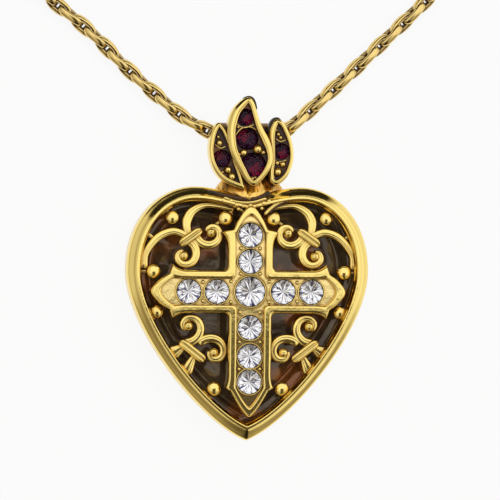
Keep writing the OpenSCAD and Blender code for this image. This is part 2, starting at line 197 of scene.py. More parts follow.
def darkFinish(name, values):
    material, board, at = newFinish(name)
    cloudy = board.noise(at, values["paintedGlintClouds"])
    fine = board.noise(at, values["grain"], 3.0) - 0.5
    # painted reflections of the gold: amber patches in the brown
    paintedGlintMask = cloudy.step(0.5, 0.66) * 0.75
    deepMask = board.noise(at, values["deepClouds"]).step(0.4, 0.62)
    tone = board.mix(paintedGlintMask, board.mix(deepMask, values["dark"], values["deep"]), values["paintedAmberGlint"])
    rough = (fine * 0.15 + values["roughness"]).clamped()
    bump = board.node("Bump", sockets={"Height": cloudy + fine * 0.03, "Strength": values["waves"],
                                       "Distance": values["relief"] * mm})
    finishWith(board, {"Base Color": tone, "Roughness": rough, "Metallic": values["metal"],
                       "Normal": bump})
    return material


# Stones: a glass crown over a foiled back, whose facets take a light foil and a dark foil in turn, painted
# light and shade
clearGlass = {"glass": rgb(254, 254, 255), "light": rgb(254, 254, 255), "shadedFoil": rgb(104, 102, 134),
              "bend": 1.2, "shine": 0.5, "foilRoughness": 0.05, "foilFade": 0.85}
garnetGlass = {**clearGlass, "glass": rgb(178, 104, 168), "light": rgb(150, 44, 68),
               "shadedFoil": rgb(70, 42, 64), "bend": 1.25, "shine": 0.3, "foilRoughness": 0.12}


def glassFinish(name, values):
    material, board, at = newFinish(name)
    finishWith(board, {"Base Color": values["glass"], "Roughness": board.noise(at, 900.0) * 0.02,
                       "IOR": values["bend"], "Specular IOR Level": values["shine"],
                       "Transmission Weight": 1.0})
    return material


def foilFinish(name, values, tone):
    material, board, at = newFinish(name)
    mottle = board.noise(at, 1500.0)
    faded = (*(values["foilFade"] * v for v in values[tone][:3]), 1.0)
    finishWith(board, {"Base Color": board.mix(mottle * 0.3, values[tone], faded), "Metallic": 0.8,
                       "Roughness": mottle * 0.03 + values["foilRoughness"]})
    return material


def stoneFinishes(name, values):
    # a light foil and a dark foil, lit and shaded copies: painted light and shade
    return [glassFinish(name + "Glass", values), foilFinish(name + "Light", values, "light"),
            foilFinish(name + "ShadedFoil", values, "shadedFoil")]


cast = goldFinish("castGold", castGold)
collar = goldFinish("collarGold", collarGold)
plain = goldFinish("plainGold", plainGold)
rope = goldFinish("ropeGold", ropeGold)
field = goldFinish("fieldGold", fieldGold)
tube = goldFinish("paintedShadeTubeGold", paintedShadeTubeGold)
hollow = darkFinish("hollowDark", hollowFinish)
recess = darkFinish("recessDark", recessFinish)
paintedShade = darkFinish("paintedShadeDark", paintedShadeFinish)
clearFinishes = stoneFinishes("clear", clearGlass)
garnetFinishes = stoneFinishes("garnet", garnetGlass)
print("finishes made")


# Shapes: a Casting gathers closed skins, in millimetres, and becomes one mesh
class Casting:
    def __init__(self):
        self.points, self.faces, self.slots = [], [], []

    def add(self, points, faces, slots):
        start = len(self.points)
        self.points += [tuple(p) for p in points]
        self.faces += [[start + i for i in face] for face in faces]
        self.slots += slots

    def skin(self, rings, closed=False, slot=0, ringSlots=None):
        # rings of as many points each, joined one to the next
        n, m = len(rings), len(rings[0])
        faces, slots, ringSlots = [], [], ringSlots or [slot] * n
        for i in range(n if closed else n - 1):
            for j in range(m):
                k, l = (i + 1) % n, (j + 1) % m
                faces.append([i * m + j, i * m + l, k * m + l, k * m + j])
                slots.append(ringSlots[i])
        if not closed:
            faces += [list(range(m - 1, -1, -1)), [(n - 1) * m + j for j in range(m)]]
            slots += [ringSlots[0], ringSlots[-1]]
        self.add([p for ring in rings for p in ring], faces, slots)

    def piece(self, name, materials, finishSlot, replaced, sharp=50, swells=True):
        mesh = bpy.data.meshes.new(name)
        points = [domed(p) for p in self.points] if swells else self.points
        mesh.from_pydata([(x * mm, y * mm, z * mm) for x, y, z in points], [], self.faces)
        for polygon, slot in zip(mesh.polygons, self.slots):
            polygon.material_index = slot
            polygon.use_smooth = sharp > 0
        shape = bmesh.new()
        shape.from_mesh(mesh)
        bmesh.ops.recalc_face_normals(shape, faces=shape.faces)
        shape.to_mesh(mesh)
        shape.free()
        if sharp > 0:
            mesh.set_sharp_from_angle(angle=math.radians(sharp))
        for material in materials:
            mesh.materials.append(material)
        made = bpy.data.objects.new(name, mesh)
        bpy.context.scene.collection.objects.link(made)
        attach(made, "root")
        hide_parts(*replaced)
        return made


# The swell of the front: how far it drops at its ends and sides, and how high over the seam it is full
dome = {"middleY": -2.0, "halfHeight": 18.0, "halfWidth": 14.0, "endDrop": 0.45, "sideDrop": 0.12,
        "fullAt": 2.0}


def domed(p):
    # nothing below the seam moves
    x, y, z = p
    rise = min(max(z - pendant["seam"], 0) / dome["fullAt"], 1.0)
    lengthwise, crosswise = (y - dome["middleY"]) / dome["halfHeight"], x / dome["halfWidth"]
    return (x, y, z - (dome["endDrop"] * lengthwise ** 2 + dome["sideDrop"] * crosswise ** 2) * rise)


def cubic(a, b, c, d, t):
    weights = ((1 - t) ** 3, 3 * (1 - t) ** 2 * t, 3 * (1 - t) * t * t, t ** 3)
    return [sum(w * p[i] for w, p in zip(weights, (a, b, c, d))) for i in (0, 1)]


# The heart's outline: where its lobes and its widest places are, as shares of its width and height,
# and how far the curves' handles reach, in millimetres at the cleft and as shares elsewhere
outline = {"lobeOut": 0.221, "sideUp": 0.67, "tipInset": 1.2, "cleftHandle": (1.6, 0.3), "lobeHandle": 2.4,
           "shoulder": (0.47, 0.66), "flankDown": 0.352, "flankEnd": (0.357, 0.1)}


def heartSide(s, n):
    # the right half of the heart's outline, set in by s, from the cleft round to the tip
    tip = pendant["tipY"]
    lobeY = tip + pendant["heartHeight"]
    sideY = tip + outline["sideUp"] * pendant["heartHeight"]
    lobeX = outline["lobeOut"] * pendant["heartWidth"]
    half, top, low = pendant["heartWidth"] / 2 - s, lobeY - s, tip + outline["tipInset"] * s
    cleft, lobe, side = (0, lobeY - pendant["cleftDrop"] - s), (lobeX, top), (half, sideY)
    (cleftX, cleftY), (roundX, roundY) = outline["cleftHandle"], outline["shoulder"]
    (endX, endY), long = outline["flankEnd"], sideY - low
    inward = (cleft, (cleftX, cleft[1] + cleftY), (lobeX - outline["lobeHandle"], top), lobe)
    shoulder = (lobe, (lobeX + roundX * (half - lobeX), top), (half, sideY + roundY * (top - sideY)), side)
    flank = (side, (half, sideY - outline["flankDown"] * long), (endX * half, low + endY * long), (0, low))
    out = [cubic(*inward, i / n) for i in range(n)]
    out += [cubic(*shoulder, i / (2 * n)) for i in range(2 * n)]
    out += [cubic(*flank, i / (2 * n)) for i in range(2 * n)]
    return out + [[0, low]]


def heartLoop(s, z, n=36):
    half = heartSide(s, n)
    return [(x, y, z) for x, y in half] + [(-x, y, z) for x, y in half[-2:0:-1]]


def smoothLine(points, n=6, loop=False):
    # a smooth line through a few points
    out, m = [], len(points)
    for i in range(m if loop else m - 1):
        if loop:
            a, b, c, d = points[i - 1], points[i], points[(i + 1) % m], points[(i + 2) % m]
        else:
            a, b, c, d = points[max(i - 1, 0)], points[i], points[i + 1], points[min(i + 2, m - 1)]
        for k in range(n):
            t = k / n
            out.append([0.5 * (2 * q + (r - p) * t + (2 * p - 5 * q + 4 * r - s) * t * t
                               + (3 * q - p - 3 * r + s) * t ** 3) for p, q, r, s in zip(a, b, c, d)])
    return out if loop else out + [list(points[-1])]


def straight(a, b, n):
    return [tuple(p + (q - p) * k / n for p, q in zip(a, b)) for k in range(n + 1)]


def circle(at, radius, n):
    return [(at[0] + radius * math.cos(2 * math.pi * k / n), at[1] + radius * math.sin(2 * math.pi * k / n))
            for k in range(n)]


# Across a band: share of its half width, then how far its surface lies below the top
bandEdge = [(1, 1.2), (1, 0.5), (0.97, 0.3), (0.89, 0.15), (0.76, 0.06), (0.6, 0.015)]
bandMiddle = {
    "creased": [(0.4, 0), (0.3, 0.005), (0.24, 0.025), (0.18, 0.005), (0, 0), (-0.3, 0)],
    "grooved": [(0.45, 0), (0.3, 0.02), (0.16, 0.12), (0, 0.16), (-0.16, 0.12), (-0.3, 0.02), (-0.45, 0)],
}
# Past its end: how far out, in half widths, and how much narrower it is there
bandEnd = [(1, 0.1), (0.9, 0.45), (0.6, 0.8)]


def band(casting, path, halfWidth, top, flip=1, kind="creased", slot=0):
    # a rounded band along a flat path, with round ends; halfWidth is one number or one a point
    section = bandEdge + bandMiddle[kind] + [(-q, drop) for q, drop in reversed(bandEdge)]
    n, rows = len(path), []
    for i, here in enumerate(path):
        a, b = path[max(i - 1, 0)], path[min(i + 1, n - 1)]
        way = Vector((b[0] - a[0], b[1] - a[1])).normalized()
        half = halfWidth[i] if isinstance(halfWidth, list) else halfWidth
        steps = [(0, 1)]
        if i == 0:
            steps = [(-shift, narrow) for shift, narrow in bandEnd] + steps
        if i == n - 1:
            steps = steps + bandEnd[::-1]
        for shift, narrow in steps:
            rows.append([(flip * (here[0] + way.x * shift * half + way.y * q * half * narrow),
                          here[1] + way.y * shift * half - way.x * q * half * narrow,
                          top - drop - 0.35 * (1 - narrow) ** 2) for q, drop in section])
    casting.skin(rows, slot=slot)


def ball(casting, at, radius, flip=1, squash=1.0, rings=12, around=22, pit=0.0):
    # a bead, with a small pit in its top where it has one
    rows = []
    for i in range(1, rings):
        a = math.pi * i / rings
        rows.append([(x, y, at[2] - radius * math.cos(a) * squash)
                     for x, y in circle((flip * at[0], at[1]), radius * math.sin(a), around)])
    if pit:
        top = at[2] + radius * squash - pit
        rows.append([(x, y, top) for x, y in circle((flip * at[0], at[1]), 0.16 * radius, around)])
    casting.skin(rows)


def plate(casting, loops, low, high, rounding=0.05, slot=0):
    # a flat plate with holes, its edges rounded over
    drawing = bpy.data.curves.new("plateDrawing", "CURVE")
    drawing.dimensions, drawing.fill_mode = "2D", "BOTH"
    for loop in loops:
        spline = drawing.splines.new("POLY")
        spline.points.add(len(loop) - 1)
        for point, (x, y) in zip(spline.points, loop):
            point.co = (x, y, 0, 1)
        spline.use_cyclic_u = True
    drawing.extrude, drawing.bevel_depth = (high - low) / 2 - rounding, rounding
    drawing.bevel_resolution, drawing.offset = 2, -rounding
    holder = bpy.data.objects.new("plateDrawing", drawing)
    bpy.context.scene.collection.objects.link(holder)
    mesh = bpy.data.meshes.new_from_object(holder.evaluated_get(bpy.context.evaluated_depsgraph_get()))
    cut = bmesh.new()
    cut.from_mesh(mesh)
    for k in range(-19, 22):
        for across in ((0, 1, 0), (1, 0, 0)):
            # cut every millimetre, just beside the drawn points, so that it can follow the swell
            parts = cut.verts[:] + cut.edges[:] + cut.faces[:]
            bmesh.ops.bisect_plane(cut, geom=parts, plane_co=[(k + 0.013) * v for v in across],
                                   plane_no=across)
    cut.to_mesh(mesh)
    cut.free()
    casting.add([(v.co.x, v.co.y, v.co.z + (low + high) / 2) for v in mesh.vertices],
                [list(p.vertices) for p in mesh.polygons], [slot] * len(mesh.polygons))
    bpy.data.objects.remove(holder)
    bpy.data.curves.remove(drawing)
    bpy.data.meshes.remove(mesh)


def hoop(casting, at, radius, thick, tall, z, around=40, across=10):
    # a thin round ring, as the rim of a stone's seat
    rows = []
    for j in range(around):
        a, row = 2 * math.pi * j / around, []
        for k in range(across):
            b = 2 * math.pi * k / across
            r = radius + thick * math.cos(b)
            row.append((at[0] + r * math.cos(a), at[1] + r * math.sin(a), z + tall * math.sin(b)))
        rows.append(row)
    casting.skin(rows, closed=True)


def insetLoop(loop, share):
    # a closed line set in by a share of each point's third number, its width there
    area = sum(loop[i - 1][0] * p[1] - p[0] * loop[i - 1][1] for i, p in enumerate(loop))
    sign, out, n = (1 if area > 0 else -1), [], len(loop)
    for i, p in enumerate(loop):
        here, last, following = Vector(p[:2]), Vector(loop[i - 1][:2]), Vector(loop[(i + 1) % n][:2])
        before, after = (here - last).normalized(), (following - here).normalized()
        normal = Vector((-before.y - after.y, before.x + after.x)).normalized() * sign
        out.append((p[0] + normal.x * share * p[2], p[1] + normal.y * share * p[2]))
    return out


def between(outer, inner, share):
    return (outer[0] + (inner[0] - outer[0]) * share, outer[1] + (inner[1] - outer[1]) * share)


# The rim: inset from the heart's outline and height, round one section
rimShape = [
    (0.03, 3.0), (0, 3.1), (0, 4.3), (0.03, 4.52), (0.1, 4.72), (0.2, 4.87), (0.34, 4.97), (0.48, 5.055),
    (0.62, 5.145), (0.74, 5.23), (0.85, 5.315), (0.95, 5.4), (1.04, 5.485), (1.1, 5.55), (1.14, 5.59),
    (1.19, 5.6), (1.25, 5.6), (1.36, 5.6), (1.42, 5.6), (1.47, 5.58), (1.53, 5.49), (1.57, 5.35),
    (1.6, 5.05), (1.68, 4.9), (1.78, 4.8), (1.8, 4.7), (1.8, 3.0),
]
openwork = {
    "shift": 0.15, "scrollHalfWidth": 0.6, "scrollTaper": 0.35, "scrollEye": 0.55, "scrollOpening": 1.3,
    "ballRadius": 0.62, "ballDrop": 0.3, "ballPit": 0.08, "tieHalfWidth": 0.58, "tieRise": 0.42,
    "beadSquash": 0.62, "beadDrop": 0.38, "stemHalfWidth": 0.28, "stemDrop": 0.4, "outerArcHalfWidth": 0.5,
    # the inner arc's half width, how much it swells, and how far along, counted in its points
    "innerArcWidths": (0.3, 0.33, 1.4),
    # each scroll: middle, the angle where it starts, how far it turns, its outer radius
    "scrolls": [((4.75, 4.3), -15, -300, 1.9), ((8.1, 1.45), 115, 300, 1.9),
                ((7.45, -7.1), -85, -300, 2.1), ((4.3, -10.35), 45, 300, 2.0)],
    "ties": [((6.4, 4.35), (8.15, 3.1)), ((8.05, -9.3), (5.85, -11.0))],
    "innerArc": [(7.4, 3.8), (7.75, 5.4), (7.1, 6.8), (5.6, 7.6), (3.9, 7.5), (2.2, 7.2)],
    "outerArc": [(7.8, 3.9), (9.2, 4.4), (10.7, 4.0), (11.9, 3.0), (12.8, 1.6), (12.9, 0.3)],
    # each bar: its ends, its half widths there, and its top above the bands'
    "bars": [((11.6, 3.4), (12.8, 4.3), 0.3, 0.3, -0.3), ((7.9, -9.6), (9.2, -10.4), 0.4, 0.95, -0.1),
             ((6.7, -10.8), (7.5, -12.5), 0.4, 0.8, -0.1), ((4.2, 5.2), (2.2, 6.6), 0.25, 0.25, -0.5),
             ((8, 0.4), (7.6, -1), 0.33, 0.33, -0.3), ((3.2, -10.4), (2.2, -10.6), 0.33, 0.33, -0.2)],
    # each bead: its place, its radius, and where its stem meets the rim
    "beads": [((2.95, 6.05), 0.92, (1.9, 7.4)), ((9.5, 6.1), 0.85, (10.4, 7.2)),
              ((11.75, -0.5), 0.92, (13.6, -0.5)), ((11.3, -5.4), 0.85, (12.6, -6.1)),
              ((4.2, -14.8), 0.92, (5.6, -16.2))],
}


def scrollPath(centre, start, turn, outer, n=46):
    out, eye = [], openwork["scrollEye"]
    for i in range(n + 1):
        u = i / n
        a, r = math.radians(start + turn * u), eye + (outer - eye) * (1 - u) ** openwork["scrollOpening"]
        out.append((centre[0] + r * math.cos(a), centre[1] + r * math.sin(a)))
    return out


def addOpenwork(casting, flip):
    top, sideways = pendant["bandTop"], flip * openwork["shift"]

    def moved(path):
        return [(p[0] + sideways, p[1]) for p in path]

    for centre, start, turn, outer in openwork["scrolls"]:
        path = moved(scrollPath(centre, start, turn, outer))
        taper, last = openwork["scrollTaper"], len(path) - 1
        widths = [openwork["scrollHalfWidth"] * (1 - taper * i / last) for i in range(last + 1)]
        band(casting, path, widths, top, flip)
        ball(casting, (centre[0] + sideways, centre[1], top - openwork["ballDrop"]), openwork["ballRadius"],
             flip, pit=openwork["ballPit"])
    for a, b in openwork["ties"]:
        band(casting, moved(straight(a, b, 8)), openwork["tieHalfWidth"], top + openwork["tieRise"], flip,
             kind="grooved")
    arc, (narrow, swell, peak) = moved(smoothLine(openwork["innerArc"], 6)), openwork["innerArcWidths"]
    widths = [narrow + swell * math.exp(-((i / 6 - peak) / peak) ** 2) for i in range(len(arc))]
    band(casting, arc, widths, top, flip)
    band(casting, moved(smoothLine(openwork["outerArc"])), openwork["outerArcHalfWidth"], top, flip)
    for a, b, startHalf, endHalf, rise in openwork["bars"]:
        path = moved(straight(a, b, 6))
        band(casting, path, [startHalf + (endHalf - startHalf) * k / 6 for k in range(7)], top + rise, flip)
    for at, radius, root in openwork["beads"]:
        ball(casting, (at[0] + sideways, at[1], top - openwork["beadDrop"]), radius, flip,
             openwork["beadSquash"], 18, 32)
        band(casting, moved(straight(at, root, 4)), openwork["stemHalfWidth"], top - openwork["stemDrop"],
             flip)


cross = {
    "at": (0.15, -2.9), "edge": 1.08, "fillet": 0.62, "innerFillet": 0.5, "spurRun": 1.8, "spurCurve": 2.4,
    # the field: how far under the frame it reaches, its underside, and the grains on it
    "fieldReach": 0.88, "fieldBottom": 3.6, "grainRadius": 0.25,
    # across the frame from its outer side to its inner side: share of the width, height over the top
    "ridge": [(0, -2.5), (0, -0.6), (0.02, -0.34), (0.06, -0.2), (0.12, -0.1), (0.18, -0.04),
              (0.24, -0.01), (0.3, 0), (0.36, 0), (0.66, 0), (0.72, 0), (0.78, -0.01), (0.84, -0.05),
              (0.88, -0.12), (0.92, -0.25), (0.95, -0.4), (0.97, -0.6), (0.97, -2.5)],
    # right, top, left and bottom arms; notch is how far in the pointed arch starts beside its spur,
    # and a lower fullness makes a rounder arch
    "arms": [{"reach": 11.8, "half": 2.6, "arch": 2.4, "spur": 0.75, "notch": 0.35, "fullness": 0.6},
             {"reach": 10.55, "half": 2.8, "arch": 3.3, "spur": 0.7, "notch": 0.7, "fullness": 0.58},
             {"reach": 12.25, "half": 2.6, "arch": 2.7, "spur": 0.75, "notch": 0.35, "fullness": 0.6},
             {"reach": 15.35, "half": 2.65, "arch": 3.65, "spur": 0.32, "notch": 0.25, "fullness": 0.72}],
    # small grains between the stones, from the cross's middle
    "grains": [(-5.8, 1.15), (-5.8, -1.15), (5.8, 1.15), (5.8, -1.15), (-2.35, 1.25), (-2.35, -1.25),
               (2.35, 1.25), (2.35, -1.25), (-1.2, 5.29), (1.2, 5.29), (-1.2, 2.2), (1.2, 2.2),
               (-1.25, -2.5), (1.25, -2.5), (-1.3, -6.12), (1.3, -6.12), (-1.3, -9.42), (1.3, -9.42)],
    # rings round each stone and one more round the middle stone: how far out, thick, tall, up
    "seatGap": 0.05, "seatRing": (0.16, 0.09, 0.13, 0.04), "middleRing": (0.36, 0.07, 0.1, 0.02),
    # each stone: its place from the cross's middle and its diameter
    "stones": [((0, 0), 3.55), ((0, 3.69), 2.9), ((0, 6.89), 2.9), ((0, -4.37), 2.9), ((0, -7.87), 2.9),
               ((0, -10.98), 2.9), ((-4.07, 0), 2.9), ((-7.53, 0), 2.9), ((4.07, 0), 2.9),
               ((7.53, 0), 2.9)],
}


def armSide(arm):
    # one side of an arm, from the crossing out to the apex: points outside and inside, (across, along)
    cusp, inside, run = arm["reach"] - arm["arch"], arm["half"] - cross["edge"], cross["spurRun"]
    outer = [(arm["half"], cusp - run - 0.8 * k) for k in (2, 1, 0)]
    inner = [(inside, along) for _, along in outer]
    for j in range(1, 11):
        along = cusp - run + run * j / 10
        outer.append((arm["half"] + arm["spur"] * (j / 10) ** cross["spurCurve"], along))
        inner.append((inside, along - 0.02 * j))
    # round the spur's point, then up the arch
    start, archTop = arm["half"] - arm["notch"], arm["reach"] - 1.28 * cross["edge"]
    outer += [(arm["half"] + 0.4 * arm["spur"], cusp + 0.16), (start + 0.3, cusp + 0.27)]
    inner += [(inside, cusp - 0.12), (inside, cusp - 0.04)]
    for j in range(12):
        s = math.sin(math.pi / 2 * j / 12)
        across = (1 - s) ** arm["fullness"]
        outer.append((start * across, cusp + 0.34 + (arm["arch"] - 0.34) * s))
        inner.append((inside * across, cusp + 0.03 + (archTop - cusp - 0.03) * s))
    return outer, inner, (0, arm["reach"]), (0, archTop)


def crossLoops():
    # two lines round the cross, point beside point: the frame's outer edge and its inner edge
    outer, inner = [], []
    ways = [(1, 0), (0, 1), (-1, 0), (0, -1)]
    for k, (arm, (ux, uy)) in enumerate(zip(cross["arms"], ways)):
        following = cross["arms"][(k + 1) % 4]

        def place(across, along):
            return (ux * along - uy * across + cross["at"][0], uy * along + ux * across + cross["at"][1])

        sideOut, sideIn, apexOut, apexIn = armSide(arm)
        for line, side, apex in ((outer, sideOut, apexOut), (inner, sideIn, apexIn)):
            line += [place(-across, along) for across, along in side] + [place(*apex)]
            line += [place(across, along) for across, along in reversed(side)]
        for j in range(7):
            # the corner between this arm and the next
            a, r, q = math.radians(270 - 15 * j), cross["fillet"], cross["innerFillet"]
            edge, c, s = cross["edge"], math.cos(a), math.sin(a)
            outer.append(place(arm["half"] + r + r * s, following["half"] + r + r * c))
            inner.append(place(arm["half"] - edge + q + q * s, following["half"] - edge + q + q * c))
    return outer, inner


def addCross(casting):
    outer, inner = crossLoops()
    top, floor = pendant["crossTop"], pendant["crossTop"] - pendant["fieldDrop"]
    casting.skin([[(*between(o, i, share), top + height) for share, height in cross["ridge"]]
                  for o, i in zip(outer, inner)], closed=True)
    places = [((cross["at"][0] + x, cross["at"][1] + y), d) for (x, y), d in cross["stones"]]
    seats = [circle(at, d / 2 + cross["seatGap"], 40) for at, d in places]
    underFrame = [between(o, i, cross["fieldReach"]) for o, i in zip(outer, inner)]
    plate(casting, [underFrame] + seats, cross["fieldBottom"], floor, slot=1)
    rings = [(at, d, cross["seatRing"]) for at, d in places] + [(*places[0], cross["middleRing"])]
    for at, d, (out, thick, tall, up) in rings:
        hoop(casting, at, d / 2 + out, thick, tall, floor + up)
    for across, along in cross["grains"]:
        ball(casting, (cross["at"][0] + across, cross["at"][1] + along, floor), cross["grainRadius"],
             rings=8, around=14)
    return places


# Rough casting where the lobes meet under the crest: strands and dark grooves, bands of painted shade, each
# with its points, half width and top, and blobs, each with its place and radius
cleft = {
    "strands": [([(6.2, 8.75), (5.0, 8.55), (3.6, 8.0), (2.6, 7.3), (2.0, 6.7)], 0.24, 5.45),
                ([(-5.2, 8.7), (-3.9, 8.35), (-2.6, 7.9), (-1.5, 7.4), (-0.9, 7.0)], 0.2, 5.4),
                ([(-3.0, 8.5), (-1.8, 8.1), (-0.6, 7.95), (0.6, 8.05), (1.9, 8.45)], 0.22, 5.5)],
    "paintedShadeGrooves": [([(-4.9, 9.2), (-3.2, 8.85), (-1.4, 8.5), (0.3, 8.4), (1.6, 8.75), (2.3, 9.15)], 0.3, 5.42),
                ([(-4.4, 8.45), (-3.2, 8.0), (-2.2, 7.5)], 0.22, 5.2),
                ([(4.6, 8.2), (3.4, 7.6), (2.5, 6.9)], 0.22, 5.2)],
    "blobs": [((-2.3, 8.2), 0.3), ((-1.6, 7.7), 0.34), ((-0.75, 7.55), 0.3), ((0.1, 7.6), 0.34),
              ((1.0, 7.65), 0.3), ((1.75, 7.9), 0.36), ((2.4, 8.2), 0.28), ((-3.3, 8.3), 0.26),
              ((1.5, 7.3), 0.26), ((-1.35, 7.2), 0.24)],
    "blobHeight": 5.38,
}


def addCleft(casting):
    for path, half, top in cleft["strands"]:
        band(casting, smoothLine(path), half, top)
    for path, half, top in cleft["paintedShadeGrooves"]:
        # the dark grooves are bands of painted shade
        band(casting, smoothLine(path), half, top, slot=2)
    for i, (at, radius) in enumerate(cleft["blobs"]):
        ball(casting, (*at, cleft["blobHeight"]), radius, squash=0.9 + 0.1 * (i % 3), rings=8, around=14)


front = Casting()
front.skin([heartLoop(s, z) for s, z in rimShape], closed=True)
addOpenwork(front, 1)
addOpenwork(front, -1)
stonePlaces = addCross(front)
addCleft(front)
heartFront = front.piece("heartFront", [cast, field, paintedShade], "cast_gold", ["heart_front"])
print("cast front made,", len(heartFront.data.polygons), "faces")

# The back shell, a hollow dish: outside up to the seam, then down inside
shellOutside = [
    (14.0, 0.0), (8.0, 0.0), (3.0, 0.0), (1.6, 0.0), (1.3, 0.02), (0.95, 0.16), (0.65, 0.42), (0.4, 0.78),
    (0.2, 1.2), (0.07, 1.65), (0.0, 2.15), (0.0, 2.9), (0.04, 3.0), (0.86, 3.0),
]
shellInside = [
    (0.9, 2.9), (0.93, 2.3), (1.0, 1.8), (1.15, 1.35), (1.4, 1.0), (1.75, 0.84), (2.2, 0.8), (2.8, 0.8),
    (2.95, 0.95), (3.15, 1.02), (3.35, 0.95), (3.5, 0.8), (5.0, 0.8), (9.0, 0.8), (14.0, 0.8),
]
# Past this inset the dish's loops shrink towards its middle, which keeps them out of the cleft
dish = {"inset": 2.5, "toMiddle": 11.7, "middleY": -4}


def dishLoop(s, z):
    if s <= dish["inset"]:
        return heartLoop(s, z)
    k, middle = 1 - (s - dish["inset"]) / dish["toMiddle"], dish["middleY"]
    return [(x * k, (y - middle) * k + middle, z) for x, y, _ in heartLoop(dish["inset"], z)]


shell = Casting()
shell.skin([dishLoop(s, z) for s, z in shellOutside + shellInside],
           ringSlots=[0] * (len(shellOutside) - 1) + [1] * (len(shellInside) + 1))
shell.piece("backShell", [plain, hollow], "shell_gold", ["back_shell"], swells=False)
print("back shell made")

# The crest: three flames on a collar, each a lip round a recess
flames = {
    # each line: x, y and the lip's width there
    "middle": {"top": 6.0, "line": [
        (-0.5, 20.78, 0.7), (-1.3, 20.3, 0.92), (-2.2, 19.25, 1.0), (-2.7, 17.9, 1.05),
        (-2.85, 16.5, 1.0), (-2.6, 14.5, 0.95), (-1.95, 12.9, 0.9), (-1.3, 11.8, 0.8),
        (-0.45, 10.55, 0.65), (0.5, 10.05, 0.6), (1.5, 10.8, 0.62), (2.35, 11.95, 0.65),
        (2.78, 13.2, 0.68), (2.72, 14.5, 0.8), (2.32, 15.7, 0.9), (1.62, 16.9, 0.78), (1.02, 18.2, 0.62),
        (0.66, 19.4, 0.6), (0.42, 20.1, 0.62), (0.05, 20.66, 0.7)]},
    "left": {"top": 5.5, "line": [
        (-3.9, 17.7, 0.5), (-4.6, 16.8, 0.55), (-4.95, 15.4, 0.55), (-5.0, 14.1, 0.5), (-4.75, 12.8, 0.5),
        (-4.15, 11.55, 0.55), (-3.25, 10.6, 0.6), (-1.9, 9.95, 0.6), (-0.7, 9.75, 0.5), (-0.9, 11.1, 0.5),
        (-1.5, 12.8, 0.5), (-1.95, 14.2, 0.5), (-2.6, 16, 0.45), (-3.2, 17.1, 0.45)]},
    "right": {"top": 5.5, "line": [
        (3.18, 18.2, 0.6), (2.58, 17.4, 0.7), (2.3, 16.2, 0.75), (2.45, 14.8, 0.62), (2.5, 13.2, 0.6),
        (2.35, 11.8, 0.6), (2.6, 10.6, 0.5), (3.3, 10.15, 0.55), (4.2, 10.7, 0.5), (4.9, 11.7, 0.45),
        (5.35, 13.3, 0.42), (5.25, 15.05, 0.42), (4.75, 16.6, 0.45), (4.1, 17.8, 0.5)]},
}
